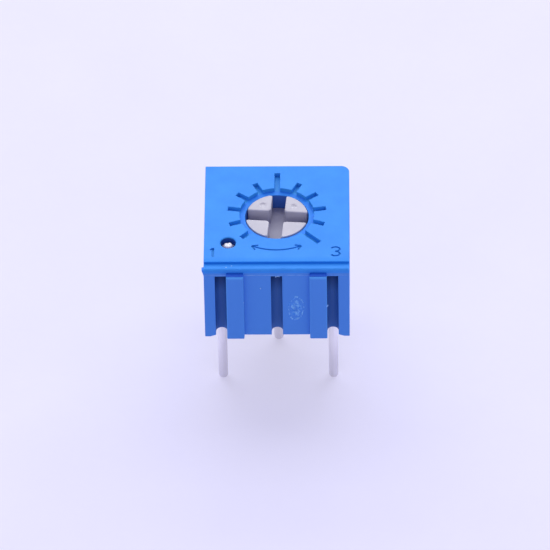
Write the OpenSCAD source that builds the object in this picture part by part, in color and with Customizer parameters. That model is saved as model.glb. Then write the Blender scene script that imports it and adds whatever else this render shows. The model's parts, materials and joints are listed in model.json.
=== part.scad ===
// Single-turn cermet trimmer potentiometer, adjusted from the top, with three leads for a board.
// Millimetres. +Z is up, and -Y is the side with the grooves. The origin is on the rotor's axis, at
// the board that the feet stand on.

/* [Body] */
// Width across the two side walls
body_w = 6.60; // [6.4:0.05:8]
// Depth of the dial plate, centred on the rotor
plate_d = 6.42; // [6.2:0.02:8]
// Height of the dial plate above the board
body_h = 4.25; // [4:0.05:6]
// Depth of the low ledge in front of the dial plate
ledge_d = 0.45; // [0.3:0.01:0.8]
// How far the ledge lies below the dial plate
ledge_drop = 0.10; // [0.05:0.01:0.2]
// Radius of the ledge's front edge
ledge_round = 0.14; // [0.05:0.01:0.25]
// Radius of the back right corner
corner_round = 0.38; // [0.1:0.02:0.6]
// Height of the four corner feet
foot_h = 0.10; // [0.05:0.01:0.3]
// Length of a foot where it meets the wall
foot_l = 0.50; // [0.3:0.01:0.8]
// Thickness of the side walls
side_wall = 0.35; // [0.25:0.01:0.4]
// Thickness of the back wall
back_wall = 0.36; // [0.25:0.01:0.4]
// Wall left outside the stop lug's travel where the case is thinnest
travel_wall = 0.40; // [0.3:0.01:0.5]
// Thickness of the roof over the seal
roof = 1.07; // [0.9:0.01:1.3]
// How far the flash nib stands out of the left wall
nib_out = 0.10; // [0.04:0.01:0.15]

/* [Dial] */
// Width of the sunk ring round the rotor
dial_rim = 0.25; // [0.15:0.01:0.35]
// Depth of the sunk ring and its ticks
dial_depth = 0.20; // [0.1:0.01:0.3]
// Width of a tick
tick_w = 0.24; // [0.15:0.01:0.3]
// Length of a short tick
tick_l = 0.56; // [0.3:0.01:0.6]
// Length of the middle tick and of the last one
long_tick_l = 1.02; // [0.6:0.01:1.2]
// Number of steps on the dial
dial_steps = 10; // [6:2:12]
// Turn of the rotor from stop to stop, in degrees
sweep = 270; // [240:5:280]

/* [Grooves and ribs] */
// Space between a groove's side and a lead laid in it
groove_gap = 0.04; // [0.02:0.01:0.08]
// Depth of the lead grooves
groove_depth = 0.52; // [0.4:0.01:0.6]
// Wall left behind the grooves
groove_web = 0.15; // [0.1:0.01:0.3]
// Height of the solid front above the grooves, up to the dial plate
groove_cap = 0.50; // [0.35:0.01:0.8]
// Width of a rib
rib_w = 0.79; // [0.5:0.01:0.9]
// How far a rib stands out of the front
rib_out = 0.27; // [0.15:0.01:0.4]
// Drop from the dial plate to a rib's top
rib_drop = 0.27; // [0.25:0.01:0.8]
// Radius of a rib's outer edges
rib_round = 0.05; // [0.02:0.01:0.1]

/* [Vent] */
// Diameter of the vent hole
vent_d = 0.69; // [0.5:0.01:0.8]
// Distance of the vent's middle past the outer wall of the lug's travel
vent_past = 0.12; // [0.05:0.01:0.2]
// Direction of the vent from the axis, in degrees to the left of the front
vent_turn = 48.7; // [46:0.1:52]
// Depth of the plug's edge below the dial plate
plug_drop = 0.40; // [0.3:0.01:0.6]
// Height of the plug below its edge
plug_t = 0.55; // [0.3:0.01:0.7]
// Rise of the plug's domed top
plug_dome = 0.09; // [0.04:0.01:0.15]

/* [Rotor] */
// Diameter of the rotor's head
head_d = 2.82; // [2.5:0.02:3]
// Running gap between the head and its bore
head_gap = 0.04; // [0.03:0.01:0.1]
// Drop from the dial plate to the rotor's top
head_drop = 0.15; // [0.1:0.01:0.4]
// Width of the cross slots
slot_w = 0.63; // [0.5:0.01:0.8]
// Depth of the cross slots
slot_depth = 0.82; // [0.5:0.01:0.9]
// Radius where the two slots meet
slot_round = 0.12; // [0.05:0.01:0.2]
// Radius of the head's top edge
head_round = 0.05; // [0.02:0.01:0.1]
// Thickness of the rotor's disc
disc_t = 0.40; // [0.3:0.01:0.5]
// Running gap round the disc and the stop lug
disc_gap = 0.08; // [0.04:0.01:0.1]
// Length of the stop lug past the disc
lug_out = 0.28; // [0.15:0.01:0.3]
// Angle that the stop lug covers, in degrees
lug_angle = 16; // [10:1:24]
// Turn of the rotor at rest from the middle of its travel, in degrees
rotor_turn = -4.6; // [-90:0.1:90]
// Diameter of the two moulding dimples
dimple_d = 0.28; // [0.15:0.01:0.35]
// Depth of the dimples
dimple_depth = 0.05; // [0.02:0.01:0.1]
// Distance of the dimples from the axis
dimple_r = 1.00; // [0.9:0.01:1.1]

/* [Seal] */
// Thickness of the seal ring's cord before it is squeezed
seal_cord = 0.50; // [0.4:0.01:0.55]
// How much the cord is squeezed flat
seal_squeeze = 0.06; // [0.02:0.01:0.1]

/* [Element] */
// Thickness of the ceramic base
base_t = 0.60; // [0.4:0.01:0.7]
// Thickness of the printed films
film_t = 0.03; // [0.02:0.01:0.05]
// Distance from the disc's edge to the middle of the resistor track
track_inset = 0.50; // [0.4:0.01:0.6]
// Width of the resistor track
track_w = 0.70; // [0.5:0.01:0.8]
// Angle over which the track resists, in degrees
track_sweep = 240; // [210:5:250]
// Angle of the printed pad at each end of the track, in degrees
pad_sweep = 28; // [22:1:30]
// Diameter of the collector pad
collector_d = 1.60; // [1.1:0.02:1.8]
// Width of the strip from an end pad to its lead
strip_w = 0.50; // [0.3:0.01:0.6]
// Room between the printed side of the base and the rotor's disc
spring_room = 0.42; // [0.4:0.01:0.5]
// How far the base seal stops short of the walls' lower edge
seal_recess = 0.02; // [0.02:0.01:0.3]
// Space left round a bonded piece
bond_gap = 0.01; // [0.005:0.005:0.02]

/* [Leads] */
// Diameter of a lead
lead_d = 0.43; // [0.35:0.01:0.5]
// Length of a lead below the board line
lead_l = 3.53; // [2.5:0.01:5]
// Distance from a side wall's inside to an outer lead's axis, 2.54 off the middle on this body
lead_from_side = 0.41; // [0.4:0.01:0.5]
// Distance from the front wall's inside to an outer lead's axis, 2.54 off the middle on this body
lead_from_front = 0.45; // [0.42:0.01:0.5]
// Diameter of an outer lead's head
lead_head_d = 0.60; // [0.55:0.01:0.64]
// Diameter of the middle lead's head, on which the spring turns
collector_head_d = 0.80; // [0.7:0.01:0.9]
// Thickness of a lead's head
lead_head_t = 0.10; // [0.06:0.01:0.12]
// Length of the tapered tip
lead_tip = 0.08; // [0.04:0.01:0.15]
// Width of the pinched stretch that keys a lead in the base seal
key_w = 0.54; // [0.45:0.01:0.6]
// Thickness of the pinched stretch
key_t = 0.28; // [0.2:0.01:0.35]
// Width of the solder round a head
solder_w = 0.08; // [0.05:0.01:0.09]

/* [Spring] */
// Thickness of the spring's sheet
spring_t = 0.08; // [0.05:0.01:0.1]
// Diameter of the spring's plate
plate_spring_d = 2.80; // [2.6:0.02:3]
// Number of fingers
fingers = 4; // [2:1:5]
// Width of a finger
finger_w = 0.13; // [0.08:0.01:0.14]
// Gap between two fingers
finger_gap = 0.06; // [0.04:0.01:0.08]
// Distance from a finger's root to its toe
finger_reach = 0.63; // [0.5:0.01:0.7]
// Bend radius of a finger's toe
toe_r = 0.15; // [0.1:0.01:0.18]
// Gap that keeps moving contacts apart
touch_gap = 0.02; // [0.01:0.005:0.03]
// Diameter of the two stakes that hold the spring
stake_d = 0.32; // [0.25:0.01:0.4]
// Distance of a stake from the axis
stake_r = 0.95; // [0.9:0.01:1]

/* [Hidden] */
$fn = 48;
// Overlap that lets a cut run past the face it opens
cut = 0.5;

// Plan of the body
back_y = plate_d / 2;
step_y = -plate_d / 2;
front_y = step_y - ledge_d;
inner_x = body_w / 2 - side_wall;
inner_back_y = back_y - back_wall;
inner_front_y = front_y + groove_depth + groove_web;

// Heights, worked down from the dial plate
wall_z = foot_h;
ledge_z = body_h - ledge_drop;
dial_z = body_h - dial_depth;
head_z = body_h - head_drop;
slot_z = head_z - slot_depth;
gland_z = body_h - roof;
seal_h = seal_cord - seal_squeeze;
disc_top_z = gland_z - seal_h - touch_gap;
chamber_z = disc_top_z + touch_gap * 2;
disc_z = disc_top_z - disc_t;
base_top_z = disc_z - spring_room;
base_z = base_top_z - base_t;
seal_z = wall_z + seal_recess;
film_z = base_top_z + film_t;
lead_head_z = film_z + lead_head_t;
relief_z = lead_head_z + disc_gap;
groove_z = body_h - groove_cap;
rib_z = body_h - rib_drop;

// Radii about the rotor's axis
head_r = head_d / 2;
bore_r = head_r + head_gap;
dial_r = bore_r + dial_rim;
travel_r = min(body_w, plate_d) / 2 - travel_wall;
lug_r = travel_r - disc_gap;
disc_r = lug_r - lug_out;
chamber_r = disc_r + disc_gap;
seal_mid_r = head_r + bond_gap + seal_cord / 2;
gland_r = seal_mid_r + seal_cord / 2 + disc_gap;
track_r = disc_r - track_inset;
track_in_r = track_r - track_w / 2;
track_out_r = track_r + track_w / 2;

// Leads and the grooves that a bent lead would lie in
lead_x = inner_x - lead_from_side;
lead_y = inner_front_y + lead_from_front;
lead_r = lead_d / 2;
lead_hole_r = lead_r + bond_gap * 3;
groove_w = lead_d + groove_gap * 2;
outer_pad_r = lead_head_d / 2 + solder_w + bond_gap;
// Angle between the lug's side and the stop at the end of its travel
stop_margin = 0.6;

function lead_at(n) = n == 2 ? [0, 0] : [(n - 2) * lead_x, lead_y];
function head_of(n) = n == 2 ? collector_head_d : lead_head_d;

// A wedge of the plane about the axis, from one angle to another, counted clockwise from +Y
module wedge(from, to, reach) {
    steps = ceil((to - from) / 30);
    polygon(concat([[0, 0]], [
        for (i = [0 : steps])
            let (a = from + (to - from) * i / steps)
            reach * [sin(a), cos(a)]
    ]));
}

// A ring of the plane between two radii
module ring(inner, outer) {
    difference() {
        circle(r = outer);
        circle(r = inner);
    }
}

// The body's outline from above, with its one rounded corner
module body_plan() {
    translate([-body_w / 2, front_y]) square([body_w - corner_round, back_y - front_y]);
    translate([-body_w / 2, front_y]) square([body_w, back_y - front_y - corner_round]);
    translate([body_w / 2 - corner_round, back_y - corner_round]) circle(r = corner_round);
}

// The body's outline from the side, with the ledge and its rounded edge
module body_profile() {
    translate([step_y, wall_z]) square([back_y - step_y, body_h - wall_z]);
    translate([front_y, wall_z]) square([ledge_d + cut, ledge_z - ledge_round - wall_z]);
    translate([front_y + ledge_round, wall_z]) square([ledge_d, ledge_z - wall_z]);
    translate([front_y + ledge_round, ledge_z - ledge_round]) circle(r = ledge_round);
}

module body_block() {
    intersection() {
        translate([0, 0, wall_z]) linear_extrude(body_h - wall_z) body_plan();
        rotate([90, 0, 90]) linear_extrude(body_w + cut, center = true) body_profile();
    }
}

// A corner foot: full height over its outer half and sloped up to the wall over the rest
module foot() {
    top = foot_h * 1.5;
    rotate([90, 0, 0])
        linear_extrude(side_wall, center = true)
            polygon([[0, 0], [foot_l / 2, 0], [foot_l, foot_h], [foot_l, top], [0, top]]);
}

// Four feet, cut to the body's outline so that one follows the rounded corner
module feet() {
    intersection() {
        linear_extrude(foot_h * 2) body_plan();
        for (side = [-1, 1])
            on_side(side)
                for (y = [front_y + side_wall / 2, back_y - side_wall / 2])
                    translate([-body_w / 2, y, 0]) foot();
    }
}

// Draws its children on the left as they are, or mirrored to the right
module on_side(side) {
    if (side < 0)
        children();
    else
        mirror([1, 0, 0]) children();
}

// A rib that stands out of the front beside an outer groove
module rib_plan() {
    translate([0, rib_round]) square([rib_w, rib_out + cut - rib_round]);
    translate([rib_round, 0]) square([rib_w - rib_round * 2, rib_out + cut]);
    for (x = [rib_round, rib_w - rib_round])
        translate([x, rib_round]) circle(r = rib_round);
}

module ribs() {
    for (side = [-1, 1])
        on_side(side)
            translate([-lead_x + groove_w / 2, front_y - rib_out, wall_z])
                linear_extrude(rib_z - wall_z) rib_plan();
}

// A groove in the front, round at its inner end, that a lead can be bent into
module grooves() {
    for (x = [-lead_x, 0, lead_x])
        translate([x, front_y, -cut])
            linear_extrude(groove_z + cut) {
                translate([-groove_w / 2, -cut]) square([groove_w, cut + groove_depth - groove_w / 2]);
                translate([0, groove_depth - groove_w / 2]) circle(d = groove_w);
            }
}

// The sunk ring round the rotor, with a tick at each step of the dial
module dial() {
    translate([0, 0, dial_z]) {
        cylinder(r = dial_r, h = dial_depth + cut);
        for (i = [0 : dial_steps]) {
            length = i == dial_steps || i == dial_steps / 2 ? long_tick_l : tick_l;
            rotate([0, 0, sweep / 2 - i * sweep / dial_steps])
                translate([-tick_w / 2, bore_r, 0])
                    cube([tick_w, dial_rim + length, dial_depth + cut]);
        }
    }
}

// The round space that the disc turns in, wider over the stop lug's travel
module chamber_plan() {
    circle(r = chamber_r);
    half = sweep / 2 + lug_angle / 2 + stop_margin;
    intersection() {
        circle(r = travel_r);
        wedge(-half, half, travel_r * 2);
    }
}

// All that is hollow inside the body, each step narrower than the one below
module hollow() {
    translate([-inner_x, inner_front_y, -cut])
        cube([inner_x * 2, inner_back_y - inner_front_y, base_top_z + cut]);
    translate([0, 0, base_top_z - cut]) linear_extrude(chamber_z - base_top_z + cut) chamber_plan();
    translate([0, 0, chamber_z - cut]) cylinder(r = gland_r, h = gland_z - chamber_z + cut);
    translate([0, 0, gland_z - cut]) cylinder(r = bore_r, h = roof + cut * 2);
    for (side = [-1, 1])
        on_side(side) head_relief();
}

// Room over the head of an outer lead, open to the chamber where the strip passes
module head_relief() {
    start = (chamber_r - strip_w / 2 - disc_gap) * sin(45);
    translate([-inner_x, inner_front_y, base_top_z - cut])
        cube([inner_x - start, -start - inner_front_y, relief_z - base_top_z + cut]);
}

// The middle of the vent, which opens into the lug's travel
vent_at = -(travel_r + vent_past) * [sin(vent_turn), cos(vent_turn)];

module vent() {
    translate([vent_at[0], vent_at[1], disc_z]) cylinder(d = vent_d, h = body_h);
}

// A wedge of flash that a worn mould left on the left wall
module nib() {
    length = nib_out * 4;
    translate([-body_w / 2, step_y - ledge_d / 2, ledge_z - ledge_drop])
        rotate([90, 0, 0])
            linear_extrude(ledge_d / 2, center = true)
                polygon([[side_wall / 2, 0], [-nib_out, 0], [0, -length], [side_wall / 2, -length]]);
}

// The moulded housing: a case that is open below, with the dial in its roof
module housing() {
    color([0.16, 0.50, 0.92])
        difference() {
            union() {
                body_block();
                feet();
                ribs();
                nib();
            }
            hollow();
            grooves();
            dial();
            vent();
        }
}

// One quarter of the head in plan, between two arms of the cross
module head_quarter() {
    intersection() {
        circle(r = head_r);
        translate([slot_w / 2, slot_w / 2]) {
            translate([slot_round, 0]) square(head_d);
            translate([0, slot_round]) square(head_d);
            translate([slot_round, slot_round]) circle(r = slot_round);
        }
    }
}

// The head's section from the axis outwards, with a rounded top edge
module head_section(h) {
    square([head_r, h - head_round]);
    square([head_r - head_round, h]);
    translate([head_r - head_round, h - head_round]) circle(r = head_round);
}

module head() {
    root = disc_top_z - disc_t / 2;
    intersection() {
        translate([0, 0, root]) rotate_extrude() head_section(head_z - root);
        union() {
            translate([0, 0, disc_z]) cylinder(r = head_r * 2, h = slot_z - disc_z);
            translate([0, 0, slot_z - cut])
                for (turn = [0 : 90 : 270])
                    rotate([0, 0, turn]) linear_extrude(slot_depth + cut * 2) head_quarter();
        }
    }
}

// The disc, and the lug that meets the stop at each end of the travel
module disc() {
    translate([0, 0, disc_z])
        linear_extrude(disc_t) {
            circle(r = disc_r);
            intersection() {
                circle(r = lug_r);
                wedge(-lug_angle / 2, lug_angle / 2, lug_r * 2);
            }
        }
}

// Two posts under the disc, spread at the end by heat, that hold the spring
module stakes() {
    rivet_t = spring_t;
    rivet_z = disc_z - spring_t - bond_gap - rivet_t;
    for (side = [-1, 1])
        translate([side * stake_r, 0, rivet_z]) {
            cylinder(d = stake_d, h = disc_z + disc_t / 2 - rivet_z);
            cylinder(d1 = stake_d, d2 = stake_d + rivet_t, h = rivet_t);
        }
}

module rotor() {
    color([0.87, 0.85, 0.89])
        rotate([0, 0, rotor_turn])
            difference() {
                union() {
                    head();
                    disc();
                    stakes();
                }
                for (side = [-1, 1])
                    rotate([0, 0, side * 45])
                        translate([0, dimple_r, head_z - dimple_depth])
                            cylinder(d = dimple_d, h = dimple_depth + cut);
            }
}

// The rubber ring, flattened between the disc and the roof
module seal_ring() {
    color([0.45, 0.16, 0.10])
        translate([0, 0, disc_top_z + seal_h / 2])
            rotate_extrude()
                translate([seal_mid_r, 0])
                    intersection() {
                        circle(d = seal_cord);
                        square([seal_cord * 2, seal_h], center = true);
                    }
}

// The line that a finger follows, seen from the side: flat, then down to its toe, then up
toe_y = track_r;
root_y = toe_y - finger_reach;
root_z = disc_z - spring_t / 2;
toe_z = film_z + touch_gap + spring_t / 2 + toe_r;
fall = atan2(toe_z - root_z, toe_y - root_y) - asin(toe_r / norm([toe_y - root_y, toe_z - root_z]));
toe_lift = 50;
toe_steps = 8;
finger_line = concat(
    [[root_y - spring_t * 4, root_z, 0], [root_y, root_z, fall / 2]],
    [
        for (i = [0 : toe_steps])
            let (a = fall + (toe_lift - fall) * i / toe_steps)
            [toe_y + toe_r * sin(a), toe_z - toe_r * cos(a), a]
    ]
);
function beside(p, away) = [p[0] - away * sin(p[2]), p[1] + away * cos(p[2])];

module finger() {
    rotate([90, 0, 90])
        linear_extrude(finger_w, center = true)
            polygon(concat(
                [for (p = finger_line) beside(p, spring_t / 2)],
                [for (i = [len(finger_line) - 1 : -1 : 0]) beside(finger_line[i], -spring_t / 2)]
            ));
}

// The dish pressed into the spring's middle, which turns on the middle lead's head
dish_drop = disc_z - spring_t - (lead_head_z + touch_gap);
dish_foot_r = collector_head_d / 4;
dish_rim_r = dish_foot_r + dish_drop;

// Its section: flat in the middle, then up at 45 degrees to the plate, one sheet thick all the way
module dish_section() {
    flange_r = dish_rim_r + spring_t;
    back = spring_t * tan(45 / 2);
    polygon([
        [0, -dish_drop - spring_t], [dish_foot_r, -dish_drop - spring_t], [dish_rim_r, -spring_t],
        [flange_r, -spring_t], [flange_r, 0], [dish_rim_r - back, 0], [dish_foot_r - back, -dish_drop],
        [0, -dish_drop]
    ]);
}

// The stamped contact spring: a staked plate, a dish in its middle and a comb of fingers
module contact_spring() {
    pitch = finger_w + finger_gap;
    color([0.85, 0.72, 0.42])
        rotate([0, 0, rotor_turn]) {
            translate([0, 0, disc_z - spring_t])
                linear_extrude(spring_t)
                    difference() {
                        circle(d = plate_spring_d);
                        circle(r = dish_rim_r + spring_t / 2);
                        for (side = [-1, 1])
                            translate([side * stake_r, 0]) circle(r = stake_d / 2 + bond_gap);
                    }
            translate([0, 0, disc_z]) rotate_extrude() dish_section();
            for (i = [0 : fingers - 1])
                translate([(i - (fingers - 1) / 2) * pitch, 0, 0]) finger();
        }
}

// The ceramic plate that carries the printed films
module element_base() {
    color([0.93, 0.92, 0.88])
        difference() {
            translate([-inner_x + bond_gap, inner_front_y + bond_gap, base_z])
                cube([(inner_x - bond_gap) * 2, inner_back_y - inner_front_y - bond_gap * 2, base_t]);
            for (n = [1 : 3])
                translate([lead_at(n)[0], lead_at(n)[1], base_z - cut])
                    cylinder(r = lead_hole_r, h = base_t + cut * 2);
        }
}

// The printed track that the fingers slide on
module resistor_track() {
    color([0.16, 0.14, 0.13])
        translate([0, 0, base_top_z])
            linear_extrude(film_t)
                intersection() {
                    ring(track_in_r, track_out_r);
                    wedge(-track_sweep / 2, track_sweep / 2, track_out_r * 2);
                }
}

module collector_pad() {
    color([0.78, 0.77, 0.74])
        translate([0, 0, base_top_z])
            linear_extrude(film_t) ring(lead_hole_r, collector_d / 2);
}

// A printed pad from one end of the track to an outer lead
module end_pad(side) {
    lead = lead_at(2 + side);
    reach = norm(lead) - track_r;
    color([0.78, 0.77, 0.74])
        translate([0, 0, base_top_z])
            linear_extrude(film_t)
                difference() {
                    union() {
                        intersection() {
                            ring(track_in_r, track_out_r);
                            rotate(side > 0 ? 0 : track_sweep + pad_sweep)
                                wedge(track_sweep / 2, track_sweep / 2 + pad_sweep, track_out_r * 2);
                        }
                        translate(lead) circle(r = outer_pad_r);
                        translate(lead)
                            rotate(atan2(lead[0], -lead[1]))
                                translate([-strip_w / 2, 0]) square([strip_w, reach]);
                    }
                    translate(lead) circle(r = lead_hole_r);
                }
}

// A round lead: a flat head on the printed side, a pinched stretch in the seal and a tapered tip
module terminal(n) {
    neck_z = base_z - bond_gap;
    key_z = seal_z - bond_gap;
    color([0.80, 0.80, 0.80])
        translate([lead_at(n)[0], lead_at(n)[1], 0]) {
            translate([0, 0, film_z]) cylinder(d = head_of(n), h = lead_head_t);
            translate([0, 0, neck_z]) cylinder(r = lead_r, h = film_z + lead_head_t / 2 - neck_z);
            translate([0, 0, (key_z + neck_z) / 2]) cube([key_w, key_t, neck_z - key_z], center = true);
            translate([0, 0, lead_tip - lead_l]) cylinder(r = lead_r, h = lead_l + key_z - lead_tip);
            translate([0, 0, -lead_l]) cylinder(r1 = lead_r * 0.7, r2 = lead_r, h = lead_tip);
        }
}

// The fillet of solder that joins a lead's head to its pad
module solder(n) {
    rise = lead_head_t * 0.8;
    color([0.70, 0.71, 0.73])
        translate([lead_at(n)[0], lead_at(n)[1], film_z])
            rotate_extrude()
                translate([head_of(n) / 2, 0])
                    polygon([[0, 0], [solder_w, 0], [solder_w * 0.4, rise * 0.3], [0, rise]]);
}

// The resin that closes the case under the ceramic base
module base_seal() {
    wide = (inner_x - bond_gap) * 2;
    deep = inner_back_y - inner_front_y - bond_gap * 2;
    slot = [key_w + bond_gap * 2, key_t + bond_gap * 2, base_z - seal_z + cut * 2];
    color([0.20, 0.22, 0.30])
        difference() {
            translate([-inner_x + bond_gap, inner_front_y + bond_gap, seal_z])
                cube([wide, deep, base_z - seal_z]);
            for (n = [1 : 3])
                translate([lead_at(n)[0], lead_at(n)[1], (seal_z + base_z) / 2])
                    cube(slot, center = true);
        }
}

// The bead that closes the vent
module vent_plug() {
    plug_r = vent_d / 2 - bond_gap;
    ball_r = (plug_r * plug_r + plug_dome * plug_dome) / (2 * plug_dome);
    edge_z = body_h - plug_drop;
    color([0.96, 0.96, 0.96])
        translate(vent_at) {
            translate([0, 0, edge_z - plug_t]) cylinder(r = plug_r, h = plug_t);
            intersection() {
                translate([0, 0, edge_z]) cylinder(r = plug_r, h = plug_dome * 2);
                translate([0, 0, edge_z + plug_dome - ball_r]) sphere(r = ball_r);
            }
        }
}

housing();
rotor();
seal_ring();
contact_spring();
element_base();
resistor_track();
collector_pad();
end_pad(-1);  // end_pad_1
end_pad(1);  // end_pad_3
terminal(1);  // terminal_1
terminal(2);  // terminal_2
terminal(3);  // terminal_3
solder(1);  // solder_1
solder(2);  // solder_2
solder(3);  // solder_3
base_seal();
vent_plug();
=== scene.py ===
import json
import math

import bmesh
import bpy
import numpy as np
from mathutils import Matrix, Vector


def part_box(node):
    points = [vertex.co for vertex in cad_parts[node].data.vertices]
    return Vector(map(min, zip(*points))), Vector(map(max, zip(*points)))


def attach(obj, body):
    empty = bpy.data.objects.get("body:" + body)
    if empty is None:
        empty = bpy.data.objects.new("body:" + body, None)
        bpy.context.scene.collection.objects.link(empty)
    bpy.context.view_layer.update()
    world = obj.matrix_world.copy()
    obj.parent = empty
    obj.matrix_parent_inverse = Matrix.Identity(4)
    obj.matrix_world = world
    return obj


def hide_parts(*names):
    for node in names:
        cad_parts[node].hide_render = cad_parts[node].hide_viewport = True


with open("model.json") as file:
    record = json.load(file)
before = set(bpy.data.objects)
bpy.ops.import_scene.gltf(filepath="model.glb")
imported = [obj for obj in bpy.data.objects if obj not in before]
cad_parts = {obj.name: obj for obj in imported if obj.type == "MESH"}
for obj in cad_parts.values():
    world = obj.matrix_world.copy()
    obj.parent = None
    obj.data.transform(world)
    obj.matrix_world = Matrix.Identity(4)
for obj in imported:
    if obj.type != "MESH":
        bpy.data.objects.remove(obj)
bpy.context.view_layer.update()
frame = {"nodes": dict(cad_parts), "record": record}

# A sealed single-turn trimmer potentiometer that stands on its three leads. Shapes are worked
# out in millimetres, in the frame of the CAD model, and turned to metres as a piece is finished.
MM = 0.001


# Levels and places in millimetres, first those that the frame gives

def node_box(node):
    """The lowest and the highest corner of a CAD node, in millimetres."""
    return [[round(value / MM, 3) for value in corner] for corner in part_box(node)]


MOUNTS = {mount["name"]: mount for mount in frame["record"]["mounts"]}
LEADS = {number: [round(value / MM, 3) for value in MOUNTS[f"lead_{number}"]["pos_m"][:2]]
         for number in (1, 2, 3)}
LEAD_R = MOUNTS["lead_1"]["dims"]["r_mm"]
RIB_Y = node_box("housing")[0][1]
PLATE_Z = node_box("housing")[1][2]
RESIN_LOW, RESIN_HIGH = node_box("base_seal")
HEAD_Z = node_box("rotor")[1][2]
TIP_Z = node_box("terminal_2")[0][2]

# And those that the CAD model was built to
FRONT_Y = -3.66
STEP_Y = -3.23
LEDGE_Z = 4.15
RIB_TOP_Z = 3.99
RIB_X = 1.885
RIB_HALF = 0.395
GROOVE_TOP = 3.75
GROOVE_HALF = 0.27
GROOVE_DEEP = 0.52
DIAL_R = 1.70
DIAL_Z = 4.05
ROOF_Z = 3.18
BORE_R = 1.45
VENT = (-2.2031, -1.9355)
VENT_R = 0.345
SLOT_Z = 3.28
SLOT_W = 0.63


# Shapes as grids of points

def joined(*shapes):
    """Several shapes as one: their points one after another, their faces counted on."""
    points = np.concatenate([shape[0] for shape in shapes])
    starts = np.cumsum([0] + [len(shape[0]) for shape in shapes[:-1]])
    faces = [[int(i) + int(start) for i in face]
             for start, shape in zip(starts, shapes) for face in shape[1]]
    return points, faces


def between_rows(rows, columns, closed):
    """The four-sided faces between each row of a grid and the next, closed round the columns if asked."""
    row, column = np.mgrid[0:rows - 1, 0:columns if closed else columns - 1]
    here = row * columns + column
    beside = row * columns + (column + 1) % columns
    return np.stack([here, beside, beside + columns, here + columns], -1).reshape(-1, 4).tolist()


def tube(points):
    """A closed form from rings of points, one row a ring: faces from ring to ring and a flat face at each
    end."""
    rows, columns = points.shape[:2]
    ends = [list(range(columns))[::-1], list(range((rows - 1) * columns, rows * columns))]
    return points.reshape(-1, 3), between_rows(rows, columns, True) + ends


def slab(points, border, far, closed):
    """A closed slab under a grid of points. far holds one point for each along the border, with a wall
    between the two rows and a flat face across far. A grid closed round its columns has a flat face over its
    first row as well."""
    rows, columns = points.shape[:2]
    flat = points.reshape(-1, 3)
    count = len(border)
    fresh = [len(flat) + i for i in range(count)]
    following = [(i + 1) % count for i in range(count)]
    wall = [[border[i], border[j], fresh[j], fresh[i]] for i, j in enumerate(following)]
    middle = [list(range(columns))] if closed else []
    return np.concatenate([flat, far]), between_rows(rows, columns, closed) + middle + wall + [fresh]


def disc_slab(points, depth):
    """A slab under rings of points that grow outwards. The outermost is repeated at another place, depth
    away."""
    rows, columns = points.shape[:2]
    border = list(range((rows - 1) * columns, rows * columns))
    return slab(points, border, points[-1] + np.array(depth), True)


def ring_grid(start, end, rings, steps):
    """A grid of rings: one value runs from start to end, and the angle goes once round."""
    values = np.linspace(start, end, rings)
    angles = np.linspace(0, 2 * np.pi, steps, endpoint=False)
    return np.meshgrid(values, angles, indexing="ij")


def at_level(points, z):
    """Points of the plane, lifted to a level."""
    return np.concatenate([points, np.full((len(points), 1), z)], 1)


def swept(path, half_width, top, bottom, draft):
    """A stroke as a solid: a section carried along a path in the plane. At each point of the path the section
    is a trapezoid, half_width to each side at the top and narrower by draft at the bottom."""
    along = np.gradient(path, axis=0)
    along /= np.linalg.norm(along, axis=1, keepdims=True)
    across = np.stack([-along[:, 1], along[:, 0]], -1)
    sides = [(half_width, top), (half_width - draft, bottom),
             (draft - half_width, bottom), (-half_width, top)]
    return tube(np.stack([at_level(path + across * side, z) for side, z in sides], 1))


def arc(centre, radii, start, end, steps=28):
    """Points of an ellipse from one angle to another: centre + (rx cos t, ry sin t)."""
    t = np.radians(np.linspace(start, end, steps))
    return np.stack([centre[0] + radii[0] * np.cos(t), centre[1] + radii[1] * np.sin(t)], -1)


def line(*corners, steps=6):
    """Points spread evenly along straight runs from corner to corner."""
    corners = np.array(corners, float)
    share = np.linspace(0, 1, steps)[:, None]
    runs = [start + (end - start) * share for start, end in zip(corners[:-1], corners[1:])]
    return np.concatenate([run[:-1] for run in runs[:-1]] + [runs[-1]])


def turned(points, angle):
    """Points turned about the rotor's axis by an angle."""
    c, s = math.cos(angle), math.sin(angle)
    return points @ np.array([[c, s, 0], [-s, c, 0], [0, 0, 1]])


# From shapes to pieces

def mesh_from(name, shape):
    """A mesh of a shape, its doubles merged and its faces turned outwards."""
    mesh = bpy.data.meshes.new(name)
    mesh.from_pydata(shape[0].tolist(), [], shape[1])
    form = bmesh.new()
    form.from_mesh(mesh)
    bmesh.ops.remove_doubles(form, verts=form.verts, dist=1e-5)
    bmesh.ops.recalc_face_normals(form, faces=form.faces)
    form.to_mesh(mesh)
    form.free()
    return mesh


def cad_form(node, nearest=1e-3):
    """A CAD node's mesh in millimetres, its loose triangles merged and its flat faces made whole. Points
    nearer than nearest become one."""
    form = bmesh.new()
    form.from_mesh(frame["nodes"][node].data)
    bmesh.ops.scale(form, vec=(1 / MM,) * 3, verts=form.verts)
    bmesh.ops.remove_doubles(form, verts=form.verts, dist=nearest)
    bmesh.ops.dissolve_limit(form, angle_limit=math.radians(0.5), verts=form.verts, edges=form.edges)
    return form


def soften(form, width, chosen):
    """Rounds over a form's chosen edges by width, those that stand out and are sharper than 40 degrees."""
    least = math.radians(40)
    edges = [e for e in form.edges if e.is_convex and e.calc_face_angle() > least and chosen(e)]
    bmesh.ops.bevel(form, geom=edges, offset=width, offset_type="OFFSET", segments=2, profile=0.5,
                    affect="EDGES", clamp_overlap=False, loop_slide=False)
    bmesh.ops.triangulate(form, faces=[f for f in form.faces if len(f.verts) > 4])


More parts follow.
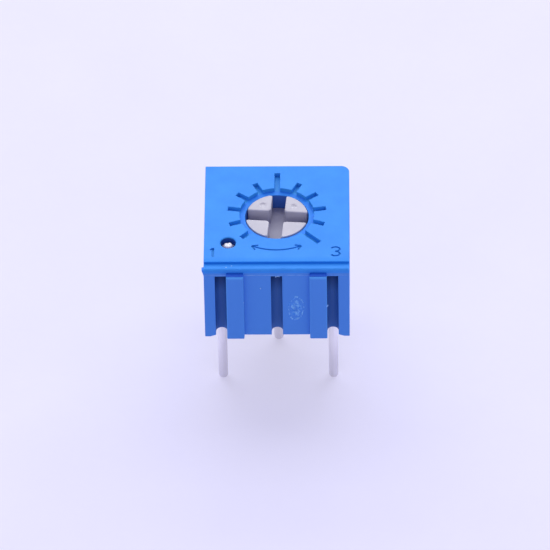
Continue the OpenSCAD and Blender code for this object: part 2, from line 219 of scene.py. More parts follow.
def combined(name, form, shapes, way):
    """A mesh of the form with each shape cut out of it or added to it."""
    mesh = bpy.data.meshes.new(name)
    form.to_mesh(mesh)
    form.free()
    work = bpy.data.objects.new(name + "_work", mesh)
    bpy.context.scene.collection.objects.link(work)
    cutters = []
    for i, shape in enumerate(shapes):
        cutter = bpy.data.objects.new(f"{name}_cutter_{i}", mesh_from("cutter", shape))
        bpy.context.scene.collection.objects.link(cutter)
        cut = work.modifiers.new("cut", "BOOLEAN")
        cut.operation, cut.solver, cut.object = way, "EXACT", cutter
        cutters.append(cutter)
    bpy.context.view_layer.update()
    result = bpy.data.meshes.new_from_object(work.evaluated_get(bpy.context.evaluated_depsgraph_get()))
    for used in cutters + [work]:
        bpy.data.objects.remove(used)
    return result


def piece(name, mesh, body, material, nodes=(), sharp=35, level=False):
    """A finished piece: its mesh in metres with its place in it, smooth but for edges sharper than given,
    riding on a body and material, standing for the CAD nodes named."""
    mesh.transform(Matrix.Scale(MM, 4))
    mesh.name = name
    mesh.materials.clear()
    mesh.materials.append(material)
    mesh.polygons.foreach_set("use_smooth", np.ones(len(mesh.polygons), bool))
    mesh.set_sharp_from_angle(angle=math.radians(sharp))
    if level:
        level_shading(mesh)
    made = bpy.data.objects.new(name, mesh)
    bpy.context.scene.collection.objects.link(made)
    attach(made, body)
    if nodes:
        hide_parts(*nodes)


def level_shading(mesh):
    """The direction that each corner of a face is shaded with. It is the sum of the directions of the faces
    round that point which lean less than spread from this one, each by its area, and by far more if it lies
    square to an axis. So a flat face is shaded flat up to its rounded edge, and the rounded edge stays
    narrow."""
    spread, square_weight = math.radians(50), 1e3
    corners, count = len(mesh.loops), len(mesh.polygons)
    point, sizes = np.empty(corners, int), np.empty(count, int)
    normal, area = np.empty(count * 3), np.empty(count)
    mesh.loops.foreach_get("vertex_index", point)
    mesh.polygons.foreach_get("loop_total", sizes)
    mesh.polygons.foreach_get("normal", normal)
    mesh.polygons.foreach_get("area", area)
    normal = normal.reshape(-1, 3)
    face = np.repeat(np.arange(count), sizes)
    square = np.abs(normal).max(1) > 0.99999
    weight = area / area.sum() + square_weight * square
    # Each corner is paired with every corner that meets it at the same point
    order = np.argsort(point, kind="stable")
    fans = np.bincount(point)
    first = np.concatenate([[0], np.cumsum(fans)[:-1]])
    each = fans[point]
    here = np.repeat(np.arange(corners), each)
    step = np.arange(each.sum()) - np.repeat(np.cumsum(each) - each, each)
    there = order[first[point[here]] + step]
    near = (normal[face[here]] * normal[face[there]]).sum(1) > math.cos(spread)
    total = np.zeros((corners, 3))
    np.add.at(total, here[near], normal[face[there[near]]] * weight[face[there[near]]][:, None])
    total[square[face]] = normal[face[square[face]]]
    total /= np.linalg.norm(total, axis=1, keepdims=True)
    mesh.normals_split_custom_set(total.tolist())


# Nodes for materials

def linear(code):
    """A colour written as sRGB hex, turned to linear light."""
    parts = np.array([int(code[i:i + 2], 16) for i in (0, 2, 4)]) / 255
    light = np.where(parts <= 0.04045, parts / 12.92, ((parts + 0.055) / 1.055) ** 2.4)
    return (*light.tolist(), 1.0)


def add(tree, kind, settings, inputs):
    """Adds a node, sets its settings, and sets or links each input by its name or number."""
    new = tree.nodes.new("ShaderNode" + kind)
    for name, value in settings.items():
        setattr(new, name, value)
    for name, value in inputs.items():
        if isinstance(value, bpy.types.NodeSocket):
            tree.links.new(value, new.inputs[name])
        else:
            new.inputs[name].default_value = value
    return new


def per_mm(size):
    """The scale of a noise whose features are size millimetres, on coordinates in metres."""
    return 1 / (size * MM)


def surface(name, dark, light, patch_mm, grain_mm, high_mm, rough, stretch=(1, 1, 1), contrast=0.22,
            toned=None, covered=None, **shader):
    """A material with the two patterns that a made surface has. Colour: noise with features of patch_mm runs
    from the dark to the light tone. Grain: noise with features of grain_mm, high_mm deep, moves the roughness
    between its two ends and lifts the surface. stretch draws both patterns out along an axis. toned is a
    function that takes the tree, the place and the colour and gives the colour changed by place. covered is
    one that takes the tree and the finished shader and gives what is shown."""
    material = bpy.data.materials.new(name)
    material.use_nodes = True
    tree = material.node_tree
    tree.nodes.clear()
    place = add(tree, "TexCoord", {}, {}).outputs["Object"]
    drawn = add(tree, "Mapping", {"vector_type": "POINT"}, {"Vector": place, "Scale": stretch})
    patch = add(tree, "TexNoise", {}, {
        "Vector": drawn.outputs["Vector"], "Scale": per_mm(patch_mm), "Detail": 3.0, "Roughness": 0.55})
    grain = add(tree, "TexNoise", {}, {
        "Vector": drawn.outputs["Vector"], "Scale": per_mm(grain_mm), "Detail": 2.0, "Roughness": 0.6})
    share = add(tree, "MapRange", {}, {
        "Value": patch.outputs["Fac"], "From Min": 0.5 - contrast, "From Max": 0.5 + contrast})
    colour = add(tree, "Mix", {"data_type": "RGBA"}, {
        0: share.outputs["Result"], 6: linear(dark), 7: linear(light)}).outputs[2]
    dull = add(tree, "MapRange", {}, {
        "Value": grain.outputs["Fac"], "From Min": 0.3, "From Max": 0.7,
        "To Min": rough[0], "To Max": rough[1]})
    lifted = add(tree, "Bump", {}, {
        "Height": grain.outputs["Fac"], "Distance": high_mm * MM, "Strength": 1.0})
    skin = add(tree, "BsdfPrincipled", {}, {
        "Base Color": toned(tree, place, colour) if toned else colour,
        "Roughness": dull.outputs["Result"], "Normal": lifted.outputs["Normal"]})
    for socket, value in shader.items():
        skin.inputs[socket.replace("_", " ")].default_value = value
    bare = skin.outputs["BSDF"]
    add(tree, "OutputMaterial", {}, {"Surface": covered(tree, bare) if covered else bare})
    return material


def about(value, middle, reach):
    """A range for inside: the value within reach of a middle."""
    return value, middle - reach, middle + reach


def inside(tree, *ranges):
    """One where each value lies between its low and its high end, in millimetres, and nought elsewhere."""
    share = 1.0
    for value, low, high in ranges:
        here = add(tree, "Math", {"operation": "COMPARE"}, {
            0: value, 1: (low + high) / 2 * MM, 2: (high - low) / 2 * MM}).outputs["Value"]
        share = add(tree, "Math", {"operation": "MULTIPLY"}, {0: share, 1: here}).outputs["Value"]
    return share


# The case's painted light and shade by place

# Painted shade in the grooves deepens from this height up to their closed tops
GROOVE_DARK_Z = 2.4


def groove_shares(tree, aside, y, z):
    """The three lead grooves, where shade is painted, and in them a share of deeper painted shade that grows
    from nought at GROOVE_DARK_Z to one at their closed tops."""
    strips = add(tree, "Math", {"operation": "MAXIMUM"}, {
        0: inside(tree, about(aside, LEADS[3][0], GROOVE_HALF)),
        1: inside(tree, (aside, 0, GROOVE_HALF))}).outputs["Value"]
    depth = inside(tree, (y, FRONT_Y + 0.04, FRONT_Y + GROOVE_DEEP + 0.06), (z, 0, GROOVE_TOP + 0.01))
    groove = add(tree, "Math", {"operation": "MULTIPLY"}, {0: strips, 1: depth}).outputs["Value"]
    closed = add(tree, "MapRange", {}, {
        "Value": z, "From Min": GROOVE_DARK_Z * MM, "From Max": GROOVE_TOP * MM,
        "To Max": groove}).outputs["Result"]
    return groove, closed


def rib_edge_highlight(tree, aside, y, z):
    """A painted highlight on the front edges of the ribs: 0.35 along their sides, and more towards their
    tops, up to 0.8.
    """
    crest = add(tree, "MapRange", {"interpolation_type": "SMOOTHSTEP"}, {
        "Value": z, "From Min": (RIB_TOP_Z - 0.23) * MM, "From Max": (RIB_TOP_Z - 0.07) * MM,
        "To Max": 0.8}).outputs["Result"]
    flank = add(tree, "Math", {"operation": "MULTIPLY_ADD"}, {
        0: inside(tree, about(aside, RIB_X, RIB_HALF - 0.04)), 1: -0.35, 2: 0.35}).outputs["Value"]
    most = add(tree, "Math", {"operation": "MAXIMUM"}, {0: crest, 1: flank}).outputs["Value"]
    face = inside(tree, about(aside, RIB_X, RIB_HALF + 0.005), about(y, RIB_Y, 0.04),
                  (z, 0, RIB_TOP_Z - 0.025))
    return add(tree, "Math", {"operation": "MULTIPLY"}, {0: most, 1: face}).outputs["Value"]


def step_share(tree, y, z):
    """Painted shade at the soft step in front of the plate: one at the step, and less and less to 0.38 mm
    from it.
    """
    off = add(tree, "Math", {"operation": "ADD"}, {0: y, 1: -STEP_Y * MM}).outputs["Value"]
    away = add(tree, "Math", {"operation": "ABSOLUTE"}, {0: off}).outputs["Value"]
    return add(tree, "MapRange", {}, {
        "Value": away, "From Min": 0.38 * MM, "From Max": 0.04 * MM,
        "To Max": inside(tree, (z, PLATE_Z - 0.15, PLATE_Z + 0.05))}).outputs["Result"]


def ring_share(tree, place, z):
    """The floor of the dial's ring, where a slightly darker tone is painted as shade."""
    flat = add(tree, "VectorMath", {"operation": "MULTIPLY"}, {0: place, 1: (1, 1, 0)}).outputs["Vector"]
    away = add(tree, "VectorMath", {"operation": "LENGTH"}, {0: flat}).outputs["Value"]
    return inside(tree, (away, 0, DIAL_R), about(z, DIAL_Z, 0.01))


def toned_case(tree, place, colour):
    """Painted light and shade by place on the case, each tone mixed in by its share. In turn: a painted sheen
    on the front; painted shade in the grooves, darker at their closed tops; painted shade in the rotor's
    bore;
    painted shade on the tops of the ribs; a painted highlight on the ribs' front edges; painted shade at the
    soft step in front of the plate; painted light in the marks sunk into the plate, which lifts their shade;
    painted shade on the floor of the dial's ring; and painted shade in the vent."""
    at = add(tree, "SeparateXYZ", {}, {"Vector": place}).outputs
    x, y, z = at["X"], at["Y"], at["Z"]
    aside = add(tree, "Math", {"operation": "ABSOLUTE"}, {0: x}).outputs["Value"]
    groove, closed = groove_shares(tree, aside, y, z)
    # Painted sheen: a whiter tone on the front and the ribs' front faces, standing in for the pale table's
    # reflection
    front = inside(tree, (y, RIB_Y - 0.04, FRONT_Y + 0.035), (z, 0, RIB_TOP_Z - 0.03))
    # Painted shade on the wall of the rotor's bore
    bore = inside(tree, (aside, 0, BORE_R + 0.05), about(y, 0, BORE_R + 0.05),
                  (z, ROOF_Z - 0.11, DIAL_Z - 0.02))
    # Painted shade on the tops of the ribs, where the wall above them shades them
    rib_top = inside(tree, about(aside, RIB_X, RIB_HALF + 0.005), (y, RIB_Y + 0.01, FRONT_Y),
                     about(z, RIB_TOP_Z, 0.02))
    # Painted light in the marks sunk into the plate: a lighter, greener tone that lifts their shade
    sunk = inside(tree, (aside, 0, 3.1), about(y, 0, 3.1), (z, DIAL_Z - 0.01, PLATE_Z - 0.015))
    # Painted shade on the walls of the vent
    vent = inside(tree, about(x, VENT[0], VENT_R + 0.035), about(y, VENT[1], VENT_R + 0.035),
                  (z, ROOF_Z - 0.18, PLATE_Z - 0.035))
    # Every tone below is painted light or shade on the case, mixed in where its share says
    for share, tone in (
            (front, "5496EA"), (groove, "4878BC"), (closed, "0E2C68"), (bore, "4070C8"),
            (rib_top, "0650C0"), (rib_edge_highlight(tree, aside, y, z), "64BCFF"),
            (step_share(tree, y, z), "268CEE"), (sunk, "3A9AE4"),
            (ring_share(tree, place, z), "348CF0"), (vent, "1C50A4")):
        colour = add(tree, "Mix", {"data_type": "RGBA"}, {0: share, 6: colour, 7: linear(tone)}).outputs[2]
    return colour


# Painted shade by height on the rotor and the leads

def slot_shade_tone(tree, place, colour):
    """Painted shade: greyer plastic down in the slots. The share runs from nought near the head's top to one
    near the slots' floor."""
    at = add(tree, "SeparateXYZ", {}, {"Vector": place})
    low = add(tree, "MapRange", {}, {
        "Value": at.outputs["Z"], "From Min": (HEAD_Z - 0.12) * MM, "From Max": (SLOT_Z + 0.04) * MM})
    return add(tree, "Mix", {"data_type": "RGBA"}, {
        0: low.outputs["Result"], 6: colour, 7: linear("9C9BB0")}).outputs[2]


def tip_shade_tone(tree, place, colour):
    """Painted shade: the tin darker towards the tip of a lead. The share runs from nought near the case to
    0.4 at the tip."""
    at = add(tree, "SeparateXYZ", {}, {"Vector": place})
    low = add(tree, "MapRange", {"interpolation_type": "SMOOTHSTEP"}, {
        "Value": at.outputs["Z"], "From Min": -0.6 * MM, "From Max": TIP_Z * MM, "To Max": 0.4})
    return add(tree, "Mix", {"data_type": "RGBA"}, {
        0: low.outputs["Result"], 6: colour, 7: linear("C0BEC8")}).outputs[2]


# The materials. The real grain is 0.02 to 0.05 mm. Where it shows it is drawn a little coarser, as coarse as
# it needs to be for the picture.

# Injection-moulded polyester, spark-textured mould: an even satin blue with faint clouds of flow
# toned_case paints sheen, shade and highlights on this plastic by place
CASE = surface("moulded_polyester_blue", "3891F0", "3F9BF7", patch_mm=1.1, grain_mm=0.07, high_mm=0.0035,
               rough=(0.45, 0.55), toned=toned_case, IOR=1.5, Specular_IOR_Level=0.15)
# The same plastic where the mould or a nail has torn it: a paler, dry skin with light crumbs
TORN = surface("torn_polyester_pale", "4C98F0", "92D2FF", patch_mm=0.12, grain_mm=0.05, high_mm=0.012,
               rough=(0.6, 0.8), contrast=0.14, IOR=1.5, Specular_IOR_Level=0.2)
# Crumbs of the same plastic, whitened right through where they were bruised
CRUMB = surface("bruised_polyester_crumbs", "80C0FA", "B2DAFF", patch_mm=0.06, grain_mm=0.02, high_mm=0.004,
                rough=(0.6, 0.8), IOR=1.5)
# The thin flash that was squeezed out along the mould's joint: the same plastic, thin enough to look lighter
FLASH = surface("moulding_flash_blue", "4C90E8", "78B4F6", patch_mm=0.3, grain_mm=0.05, high_mm=0.004,
                rough=(0.4, 0.6), IOR=1.5)
# Injection-moulded nylon, polished mould: off-white, soft and slightly translucent to the eye
# slot_shade_tone paints shade down in the rotor's slots
ROTOR = surface("moulded_nylon_offwhite", "B8B7C1", "C4C3CD", patch_mm=0.9, grain_mm=0.08, high_mm=0.002,
                rough=(0.38, 0.5), toned=slot_shade_tone, IOR=1.53)
# A drop of cured silicone: clean white, with the wet gloss it set with
BEAD = surface("cured_silicone_white", "EDEDF2", "FBFBFF", patch_mm=0.3, grain_mm=0.1, high_mm=0.004,
               rough=(0.1, 0.2), IOR=1.41)
# Copper wire, hot tinned: bright and soft, with draw lines along the wire that the tin half fills
# tip_shade_tone paints shade on the tin towards the tip
LEAD = surface("tinned_copper_wire", "E8E6EC", "F8F6FA", patch_mm=0.5, grain_mm=0.06, high_mm=0.0012,
               rough=(0.36, 0.48), stretch=(1, 1, 0.25), toned=tip_shade_tone, Metallic=1.0)
# Poured epoxy, cured in place: deep navy gloss over a slightly uneven face
RESIN = surface("poured_epoxy_navy", "141B33", "1B2542", patch_mm=0.8, grain_mm=0.35, high_mm=0.006,
                rough=(0.12, 0.22), IOR=1.55)
# Compression-moulded silicone rubber: dull brick red with a dusty skin
RUBBER = surface("moulded_silicone_rubber_red", "6B2A1E", "7F382A", patch_mm=0.3, grain_mm=0.04,
                 high_mm=0.003, rough=(0.6, 0.8), IOR=1.41)
# Cold-rolled copper alloy strip, stamped: warm metal with rolling lines along the strip
SPRING = surface("rolled_copper_alloy", "C49A58", "DDB874", patch_mm=0.3, grain_mm=0.05, high_mm=0.002,
                 rough=(0.22, 0.36), stretch=(1, 0.1, 1), Metallic=1.0)
# Pressed and fired alumina: dry off-white, fine grained
CERAMIC = surface("fired_alumina", "E4E1D8", "F1EFE8", patch_mm=0.4, grain_mm=0.04, high_mm=0.004,
                  rough=(0.55, 0.7), IOR=1.7)
# Screen-printed cermet, fired: nearly black, slightly glassy, with the mesh's faint print
TRACK = surface("fired_cermet_film", "1B1816", "2A2522", patch_mm=0.12, grain_mm=0.06, high_mm=0.003,
                rough=(0.25, 0.4), IOR=1.6)
# Screen-printed silver palladium, fired: pale grey metal, dull
FILM = surface("fired_silver_film", "B4B1A8", "CFCCC4", patch_mm=0.12, grain_mm=0.05, high_mm=0.003,
               rough=(0.35, 0.5), Metallic=1.0)
# Reflowed tin solder: bright, with a frosty grain where it froze
SOLDER = surface("reflowed_tin_solder", "A9ABB1", "CBCDD2", patch_mm=0.15, grain_mm=0.06, high_mm=0.004,
                 rough=(0.2, 0.42), Metallic=1.0)

for node, material in {
        "seal_ring": RUBBER, "contact_spring": SPRING, "element_base": CERAMIC, "resistor_track": TRACK,
        "collector_pad": FILM, "end_pad_1": FILM, "end_pad_3": FILM,
        "solder_1": SOLDER, "solder_2": SOLDER, "solder_3": SOLDER}.items():
    for held in frame["nodes"][node].material_slots:
        held.material = material


# The case

STROKE = 0.05
STROKE_DRAFT = 0.012
STROKE_TOP = PLATE_Z + 0.1
STROKE_LOW = PLATE_Z - 0.09
NUMERAL_HIGH = 0.60
EDGE_ROUND = 0.03
VENT_ROUND = 0.045


def stroke(path, half_width=STROKE):
    """One engraved stroke of the plate, 0.09 mm deep and 0.1 mm wide unless told, with a little draft."""
    return swept(path, half_width, STROKE_TOP, STROKE_LOW, STROKE_DRAFT)


def numeral_one(x, y):
    """A flag and an upright, as straight runs. The upright is a third as wide again as a stroke."""
    top = y + NUMERAL_HIGH / 2
    return [stroke(line((x, y - NUMERAL_HIGH / 2), (x, top)), STROKE * 1.3),
            stroke(line((x + 0.02, top - 0.03), (x - 0.13, top - 0.14)))]


def numeral_three(x, y, wide):
    """Two open arcs, one over the other."""
    r = NUMERAL_HIGH / 4
    return [stroke(arc((x, y + r), (wide / 2, r - 0.01), 155, -90)),
            stroke(arc((x, y - r), (wide / 2, r - 0.01), 90, -155))]


def turning_mark(radius, half_angle):
    """A plain mark for the way the rotor turns: an arc about the axis with an open arrowhead at each end."""
    strokes = [stroke(arc((0, 0), (radius, radius), -90 - half_angle, -90 + half_angle))]
    for side in (-1, 1):
        angle = math.radians(-90 + side * half_angle)
        tip = np.array([math.cos(angle), math.sin(angle)]) * radius
        ahead = np.array([-math.sin(angle), math.cos(angle)]) * side
        out = tip / radius
        for lean in (-1, 1):
            strokes.append(stroke(line(tip + ahead * 0.03, tip - ahead * 0.22 + out * lean * 0.17)))
    return strokes


def seen_edge(edge):
    """True for an edge of the case's outside or its dial, false for one of its hollow or a groove's foot."""
    x, y, z = (edge.verts[0].co + edge.verts[1].co) / 2
    hollow = abs(x) < 3.0 and -3.05 < y < 2.9
    dial = math.hypot(x, y) > BORE_R - 0.05 and z > DIAL_Z - 0.15
    groove_foot = z < 0.12 and abs(x) < 3.2 and -3.6 < y < 3.1
    return dial or not hollow and not groove_foot


def vent_rim(edge):
    """True for an edge round the mouth of the vent."""
    ends = [v.co for v in edge.verts]
    return all(p.z > PLATE_Z - 0.01 and abs(math.dist(p[:2], VENT) - VENT_R) < 0.01 for p in ends)


def case_mesh():
    """The case: the CAD form with its seen edges rounded and the marks cut into its plate."""
    form = cad_form("housing", nearest=0.006)
    soften(form, VENT_ROUND, vent_rim)
    soften(form, EDGE_ROUND, seen_edge)
    marks = numeral_one(-2.885, -2.57) + numeral_three(2.67, -2.53, 0.40) + turning_mark(2.42, 27)
    return combined("case_moulding", form, marks, "DIFFERENCE")


piece("case_moulding", case_mesh(), "case", CASE, ["housing"], level=True)


# The rotor

HEAD_R = 1.425
CUT_Z = 3.20
NECK_Z = 3.17
NECK_SIDES = 48
ROTOR_TURN = math.radians(-4.6)
QUARTER_MIDDLE = 0.79
DIMPLE_AT = 1.0 / math.sqrt(2)
DIMPLE_DEEP = 0.045
DIMPLE_W = 0.125


def head_quarter(turn, dimple):
    """One raised quarter of the rotor's head. Seen from above its outline is two walls along the slots, the
    rim of the head and a round at each corner. Each ring of the form is that outline moved in by an inset:
    none up the walls, then r (1 - cos a) at height r sin a over the last r of the height, which rounds the
    top edge, less so along the rim. More rings shrink to a middle over the flat top, which dips by
    deep exp(-(d/w)^4) at distance d from the dimple."""
    wall, inner, outer, top = SLOT_W / 2, 0.17, 0.06, 0.06
    deep = math.sqrt((HEAD_R - outer) ** 2 - (wall + outer) ** 2)
    rim = math.degrees(math.atan2(wall + outer, deep))
    a = np.radians(np.linspace(0, 90, 7))
    insets = np.concatenate([[0], top * (1 - np.cos(a))])
    heights = np.concatenate([[SLOT_Z - 0.05], HEAD_Z - top + top * np.sin(a)])
    rings = []
    for inset, z in zip(insets, heights):
        outline = np.concatenate([
            arc((wall + inner, wall + inner), (inner - inset,) * 2, 180, 270, 10),
            line((wall + inner, wall + inset), (deep, wall + inset), steps=18)[1:-1],
            arc((deep, wall + outer), (outer - inset,) * 2, 270, 360 + rim, 8),
            arc((0, 0), (HEAD_R - 0.4 * inset,) * 2, rim, 90 - rim, 28)[1:-1],
            arc((wall + outer, deep), (outer - inset,) * 2, 90 - rim, 180, 8),
            line((wall + inset, deep), (wall + inset, wall + inner), steps=18)[1:-1]])
        rings.append(at_level(outline, z))
    middle = np.array([QUARTER_MIDDLE, QUARTER_MIDDLE, HEAD_Z])
    share = np.linspace(1, 0.05, 46)[1:, None, None]
    flat = middle + (rings[-1] - middle) * share
    if dimple:
        away = np.hypot(flat[..., 0] - DIMPLE_AT, flat[..., 1] - DIMPLE_AT)
        flat[..., 2] -= DIMPLE_DEEP * np.exp(-(away / DIMPLE_W) ** 4)
    points, faces = tube(np.concatenate([np.stack(rings), flat]))
    return turned(points, turn), faces


def rotor_mesh():
    """The rotor: four quarters on a round neck, over the disc and posts of the CAD model. Two of the quarters
    have a dimple."""
    form = cad_form("rotor")
    geometry = list(form.verts) + list(form.edges) + list(form.faces)
    bmesh.ops.bisect_plane(form, geom=geometry, plane_co=(0, 0, CUT_Z), plane_no=(0, 0, 1), clear_outer=True)
    bmesh.ops.holes_fill(form, edges=[e for e in form.edges if e.is_boundary], sides=0)
    round_neck = arc((0, 0), (HEAD_R, HEAD_R), 0, 360 - 360 / NECK_SIDES, NECK_SIDES)
    neck = tube(np.stack([at_level(round_neck, z) for z in (NECK_Z, SLOT_Z)]))
    quarters = [head_quarter(ROTOR_TURN + i * math.pi / 2, dimple=i < 2) for i in range(4)]
    return combined("rotor", form, [neck] + quarters, "UNION")


piece("rotor_moulding", rotor_mesh(), "wiper", ROTOR, ["rotor"], level=True)


# The bead in the vent

BEAD_RING_Z = PLATE_Z - 0.36
BEAD_PITS = [  # middle x and y, depth, width
    (-0.03, 0.13, 0.14, 0.05),
    (-0.03, -0.20, 0.07, 0.035),
    (0.06, -0.03, 0.03, 0.03)]


def bead():
    """A drop of cured sealant in the vent. Over a grid of radius r and angle t the top is a low ring by the
    wall and a steep drop in the middle, ring + drop exp(-(r/w)^6), with pits exp(-(d/p)^2), the deepest of
    them at the back, where it parts the drop into two lobes."""
    drop, drop_w, deep = 0.26, 0.235, 0.52
    r, t = ring_grid(0.06, 1, 34, 72)
    r = r * (VENT_R - 0.01)
    x, y = r * np.cos(t), r * np.sin(t)
    z = BEAD_RING_Z + drop * np.exp(-(np.hypot(x, y) / drop_w) ** 6)
    for pit_x, pit_y, pit_deep, pit_w in BEAD_PITS:
        z -= pit_deep * np.exp(-((x - pit_x) ** 2 + (y - pit_y) ** 2) / pit_w ** 2)
    return disc_slab(np.stack([x + VENT[0], y + VENT[1], z], -1), (0, 0, -deep))


piece("vent_bead", mesh_from("vent_bead", bead()), "case", BEAD, ["vent_plug"], sharp=60)


# The leads

LEAD_HEADS = {1: 0.30, 2: 0.40, 3: 0.30}
PINCH_X = 0.26
PINCH_Y = 0.145


def lead(number):
    """A wire with a flat head, a pinched stretch in the resin and a rounded tip. At height z the section is a
    superellipse, x = a |cos t|^(2/n), y = b |sin t|^(2/n), with a, b and n given at a row of heights."""
    r, head = LEAD_R, LEAD_HEADS[number]
    table = np.array([  # height, a, b, n
        (TIP_Z, r * 0.62, r * 0.62, 2), (TIP_Z + 0.012, r * 0.76, r * 0.76, 2),
        (TIP_Z + 0.04, r * 0.90, r * 0.90, 2), (TIP_Z + 0.08, r * 0.975, r * 0.975, 2),
        (TIP_Z + 0.13, r, r, 2), (TIP_Z + 1.2, r * 0.992, r * 0.992, 2), (-1.2, r, r, 2), (0.10, r, r, 2),
        (0.12, PINCH_X, PINCH_Y, 6), (1.28, PINCH_X, PINCH_Y, 6), (1.31, r, r, 2), (1.93, r, r, 2),
        (1.931, head, head, 2), (2.03, head, head, 2)])
    t = np.linspace(0, 2 * np.pi, 48, endpoint=False)[None, :]
    z, a, b, n = (column[:, None] for column in table.T)
    x = a * np.sign(np.cos(t)) * np.abs(np.cos(t)) ** (2 / n)
    y = b * np.sign(np.sin(t)) * np.abs(np.sin(t)) ** (2 / n)
    at = LEADS[number]
    return tube(np.stack([x + at[0], y + at[1], z + 0 * t], -1))


for number in LEADS:
    name = f"lead_wire_{number}"
    piece(name, mesh_from(name, lead(number)), "case", LEAD, [f"terminal_{number}"], sharp=50)


# The resin below

def resin():
    """The resin that closes the case. Over a grid of x and y the underside is a level, drawn towards the
    board by exp(-d/w) where d is the distance to the case's wall or to a lead, with a slow wave 0.004 mm
    high."""
    (left, front, level), (right, back, top) = RESIN_LOW, RESIN_HIGH
    x, y = np.meshgrid(np.linspace(left, right, 120), np.linspace(front, back, 120), indexing="ij")
    wall = np.minimum(np.minimum(x - left, right - x), np.minimum(y - front, back - y))
    z = level - 0.018 * np.exp(-wall / 0.10) + 0.004 * np.sin(x * 1.9 + 0.6) * np.cos(y * 1.5 - 0.4)
    for at in LEADS.values():
        away = np.maximum(np.hypot(x - at[0], y - at[1]) - LEAD_R, 0)
        z -= 0.10 * np.exp(-away / 0.075)
    index = np.arange(x.size).reshape(x.shape)
    sides = [index[0, :-1], index[:-1, -1], index[-1, :0:-1], index[:0:-1, 0]]
    border = np.concatenate(sides).tolist()
    points = np.stack([x, y, z], -1)
    above = points.reshape(-1, 3)[border]
    above[:, 2] = top
    return slab(points, border, above, False)


piece("resin_fill", mesh_from("resin_fill", resin()), "case", RESIN, ["base_seal"], sharp=50)


# Marks that the mould left on the front

FLASH_Z = 3.836
FLASH_OUT = 0.03
CRUMBS = [  # middle, half sizes, lean in degrees
    ((-0.731, FRONT_Y, 3.013), (0.03, 0.02, 0.04), 10),
    ((-1.52, RIB_Y + 0.032, 2.367), (0.03, 0.03, 0.034), 0),
    ((2.275, RIB_Y + 0.04, 2.12), (0.045, 0.036, 0.085), -38),
    ((-2.278, -3.468, LEDGE_Z), (0.036, 0.026, 0.010), 0),
    ((-2.03, -3.37, LEDGE_Z), (0.04, 0.024, 0.009), 0),
    ((0.05, FRONT_Y, 3.775), (0.05, 0.03, 0.024), 15),
    ((-0.03, FRONT_Y + 0.01, 3.735), (0.03, 0.03, 0.03), 50),
    ((0.12, FRONT_Y + 0.01, 3.745), (0.024, 0.03, 0.026), -30)]


def gate_scar():
    """The torn spot where the runner was broken off. Over radius p from 0 to 1 and angle t the height out of
    the front is a thin broken rim, exp(-((p - 0.89)/0.05)^2), a ring of the same kind inside it and a rough
    core, each cut to islands where a wave of t and p is above a level. They stand on a low mound,
    0.02 (0.85 - p + 0.1 sin(5 t + 1)) high. Elsewhere the sheet lies just under the front."""
    at, wide, high = (0.875, 1.76), 0.37, 0.80
    p, t = ring_grid(0.06, 1, 58, 180)
    wave = np.sin(7 * t + 1.1 + 5 * p) * np.sin(13 * t + 9 * p)
    knots = np.sin(19 * p + 4 * t) * np.cos(26 * p - 7 * t + 0.7)
    rim = 0.044 * np.exp(-((p - 0.89) / 0.05) ** 2) * np.clip(wave + 0.6, 0, 1)
    ring = 0.038 * np.exp(-((p - 0.50) / 0.06) ** 2) * np.clip(np.sin(11 * t + 0.6) + 0.2, 0, 1)
    core = 0.05 * np.exp(-((p - 0.22) / 0.16) ** 2) * np.clip(knots + 0.2, 0, 1)
    mound = 0.02 * np.clip(0.85 - p + 0.1 * np.sin(5 * t + 1), 0, 1)
    out = rim + ring + core + mound - 0.006
    stretch = 1 + 0.07 * np.sin(2 * t + 0.5) + 0.04 * np.sin(5 * t)
    x = at[0] + wide * p * stretch * np.cos(t)
    z = at[1] + high * p * stretch * np.sin(t)
    return disc_slab(np.stack([x, FRONT_Y - out, z], -1), (0, 0.02, 0))


def parting_line():
    """The thin flash that the two halves of the mould left across the front. Along each run between the ribs
    and the corners the ridge stands out by high (0.7 + 0.3 sin(9 x) sin(23 x + 1)), with a half-round
    section."""
    ridges = []
    for start, end in ((-3.27, -2.28), (-1.49, 1.49), (2.28, 3.27)):
        x, a = np.meshgrid(np.linspace(start, end, 60), np.radians(np.linspace(-90, 90, 7)), indexing="ij")
        out = FLASH_OUT * (0.7 + 0.3 * np.sin(9 * x) * np.sin(23 * x + 1)) * np.cos(a)
        ridges.append(np.stack([x, FRONT_Y + 0.004 - out, FLASH_Z + 0.8 * FLASH_OUT * np.sin(a)], -1))
    return joined(*[tube(ridge) for ridge in ridges])


def chip(at, size, lean):
    """A crumb of plastic: an uneven ellipsoid. Over polar angle u and angle t its radius is
    1 + 0.18 sin(3 t + 2 u) + 0.1 cos(5 u), times a half size along each axis."""
    u, t = ring_grid(0.08, np.pi - 0.08, 7, 10)
    r = 1 + 0.18 * np.sin(3 * t + 2 * u) + 0.1 * np.cos(5 * u)
    x = size[0] * r * np.sin(u) * np.cos(t)
    y = size[1] * r * np.sin(u) * np.sin(t)
    z = size[2] * r * np.cos(u)
    turn = math.radians(lean)
    x, z = x * math.cos(turn) - z * math.sin(turn), x * math.sin(turn) + z * math.cos(turn)
    return tube(np.stack([x + at[0], y + at[1], z + at[2]], -1))


for name, shape, material in (
        ("parting_line", parting_line(), FLASH), ("gate_scar", gate_scar(), TORN),
        ("mould_crumbs", joined(*[chip(*crumb) for crumb in CRUMBS]), CRUMB)):
    piece(name, mesh_from(name, shape), "case", material, sharp=80)


# Table, light and camera

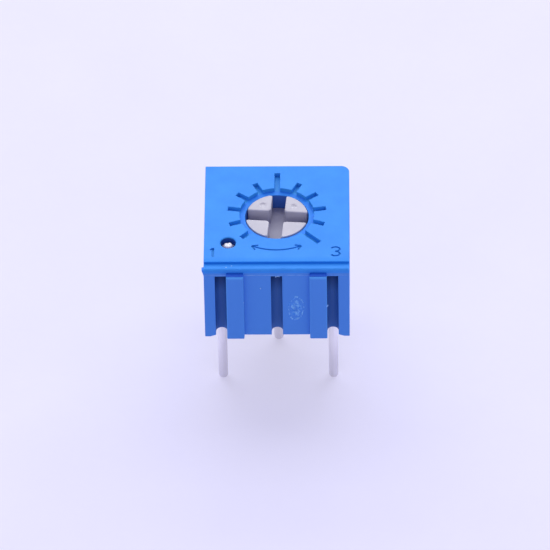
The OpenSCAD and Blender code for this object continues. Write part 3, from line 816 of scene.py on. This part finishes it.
def seen(tree):
    """One for a ray straight from the camera, or one that a mirror or a clear piece sends on, and nought for
    light that is cast on a surface."""
    path = add(tree, "LightPath", {}, {}).outputs
    direct = add(tree, "Math", {"operation": "MAXIMUM"}, {
        0: path["Is Camera Ray"], 1: path["Is Glossy Ray"]})
    return add(tree, "Math", {"operation": "MAXIMUM"}, {
        0: direct.outputs["Value"], 1: path["Is Transmission Ray"]}).outputs["Value"]


def paler_where_seen(tree, skin):
    """The card's own shader, with 0.3 of a plain pale glow where it is seen. That keeps the background
    even."""
    glow = add(tree, "Emission", {}, {"Color": linear("F8F3FD"), "Strength": 1.5})
    share = add(tree, "Math", {"operation": "MULTIPLY"}, {0: seen(tree), 1: 0.3})
    return add(tree, "MixShader", {}, {
        0: share.outputs["Value"], 1: skin, 2: glow.outputs["Emission"]}).outputs["Shader"]


# Matt card, pressed from bleached fibres: very pale, with a faint cloudiness and no shine
CARD = surface("pale_card", "C8C9EB", "CCCDEF", patch_mm=6.0, grain_mm=0.4, high_mm=0.004,
               rough=(0.8, 0.95), covered=paler_where_seen, IOR=1.45)


def table():
    """A large square sheet of card, flat under the tips of the leads."""
    size, z = 4.0, TIP_Z * MM
    mesh = bpy.data.meshes.new("table")
    mesh.from_pydata([(-size, -size, z), (size, -size, z), (size, size, z), (-size, size, z)],
                     [], [(0, 1, 2, 3)])
    mesh.materials.append(CARD)
    made = bpy.data.objects.new("table", mesh)
    bpy.context.scene.collection.objects.link(made)


def lamp(name, place, size, level, tint):
    """A soft oblong lamp that faces the part, strong enough to light a white sheet held square to it to
    level."""
    data = bpy.data.lights.new(name, "AREA")
    data.shape, data.size, data.size_y = "RECTANGLE", *size
    away = Vector(place)
    data.energy = level * math.pi ** 2 * away.length ** 2
    data.color = linear(tint)[:3]
    made = bpy.data.objects.new(name, data)
    made.matrix_world = Matrix.Translation(away) @ away.to_track_quat("Z", "Y").to_matrix().to_4x4()
    bpy.context.scene.collection.objects.link(made)


def camera(azimuth, elevation, roll, place, lens):
    """A long lens well off, at the angle that shows the plate and the front, turned a little about its own
    axis. The angles are in radians, the place and the lens in millimetres."""
    back = Vector((math.sin(azimuth) * math.cos(elevation), -math.cos(azimuth) * math.cos(elevation),
                   math.sin(elevation)))
    level = Vector((math.cos(azimuth), math.sin(azimuth), 0))
    upward = back.cross(level)
    right = level * math.cos(roll) + upward * math.sin(roll)
    up = upward * math.cos(roll) - level * math.sin(roll)
    data = bpy.data.cameras.new("camera")
    data.lens, data.sensor_width = lens, 36
    made = bpy.data.objects.new("camera", data)
    facing = Matrix((right, up, back)).transposed().to_4x4()
    made.matrix_world = Matrix.Translation(Vector(place) * MM) @ facing
    bpy.context.scene.collection.objects.link(made)
    bpy.context.scene.camera = made


def room():
    """Even light from all round, shown a little warmer and brighter where it is seen."""
    world = bpy.data.worlds.new("room")
    world.use_nodes = True
    tree = world.node_tree
    tree.nodes.clear()
    fill = add(tree, "Background", {}, {"Color": linear("DCDCFF"), "Strength": 0.5})
    pale = add(tree, "Background", {}, {"Color": linear("F0EDFE"), "Strength": 1.0})
    both = add(tree, "MixShader", {}, {0: seen(tree), 1: fill.outputs[0], 2: pale.outputs[0]})
    add(tree, "OutputWorld", {}, {"Surface": both.outputs["Shader"]})
    bpy.context.scene.world = world


table()
lamp("back_box", place=(0.0, 0.42, 0.25), size=(0.85, 0.2), level=0.84, tint="FFFFFA")
lamp("top_box", place=(0.0, 0.23, 0.44), size=(0.9, 0.2), level=0.44, tint="FFFFFA")
lamp("front_box", place=(0.0, -0.41, 0.28), size=(0.8, 0.3), level=0.2, tint="FFF4FC")
camera(math.radians(1.15), math.radians(43.343), math.radians(-1.043),
       place=(4.850, -248.340, 234.819), lens=486.37)
room()
bpy.context.scene.view_settings.view_transform = "Standard"
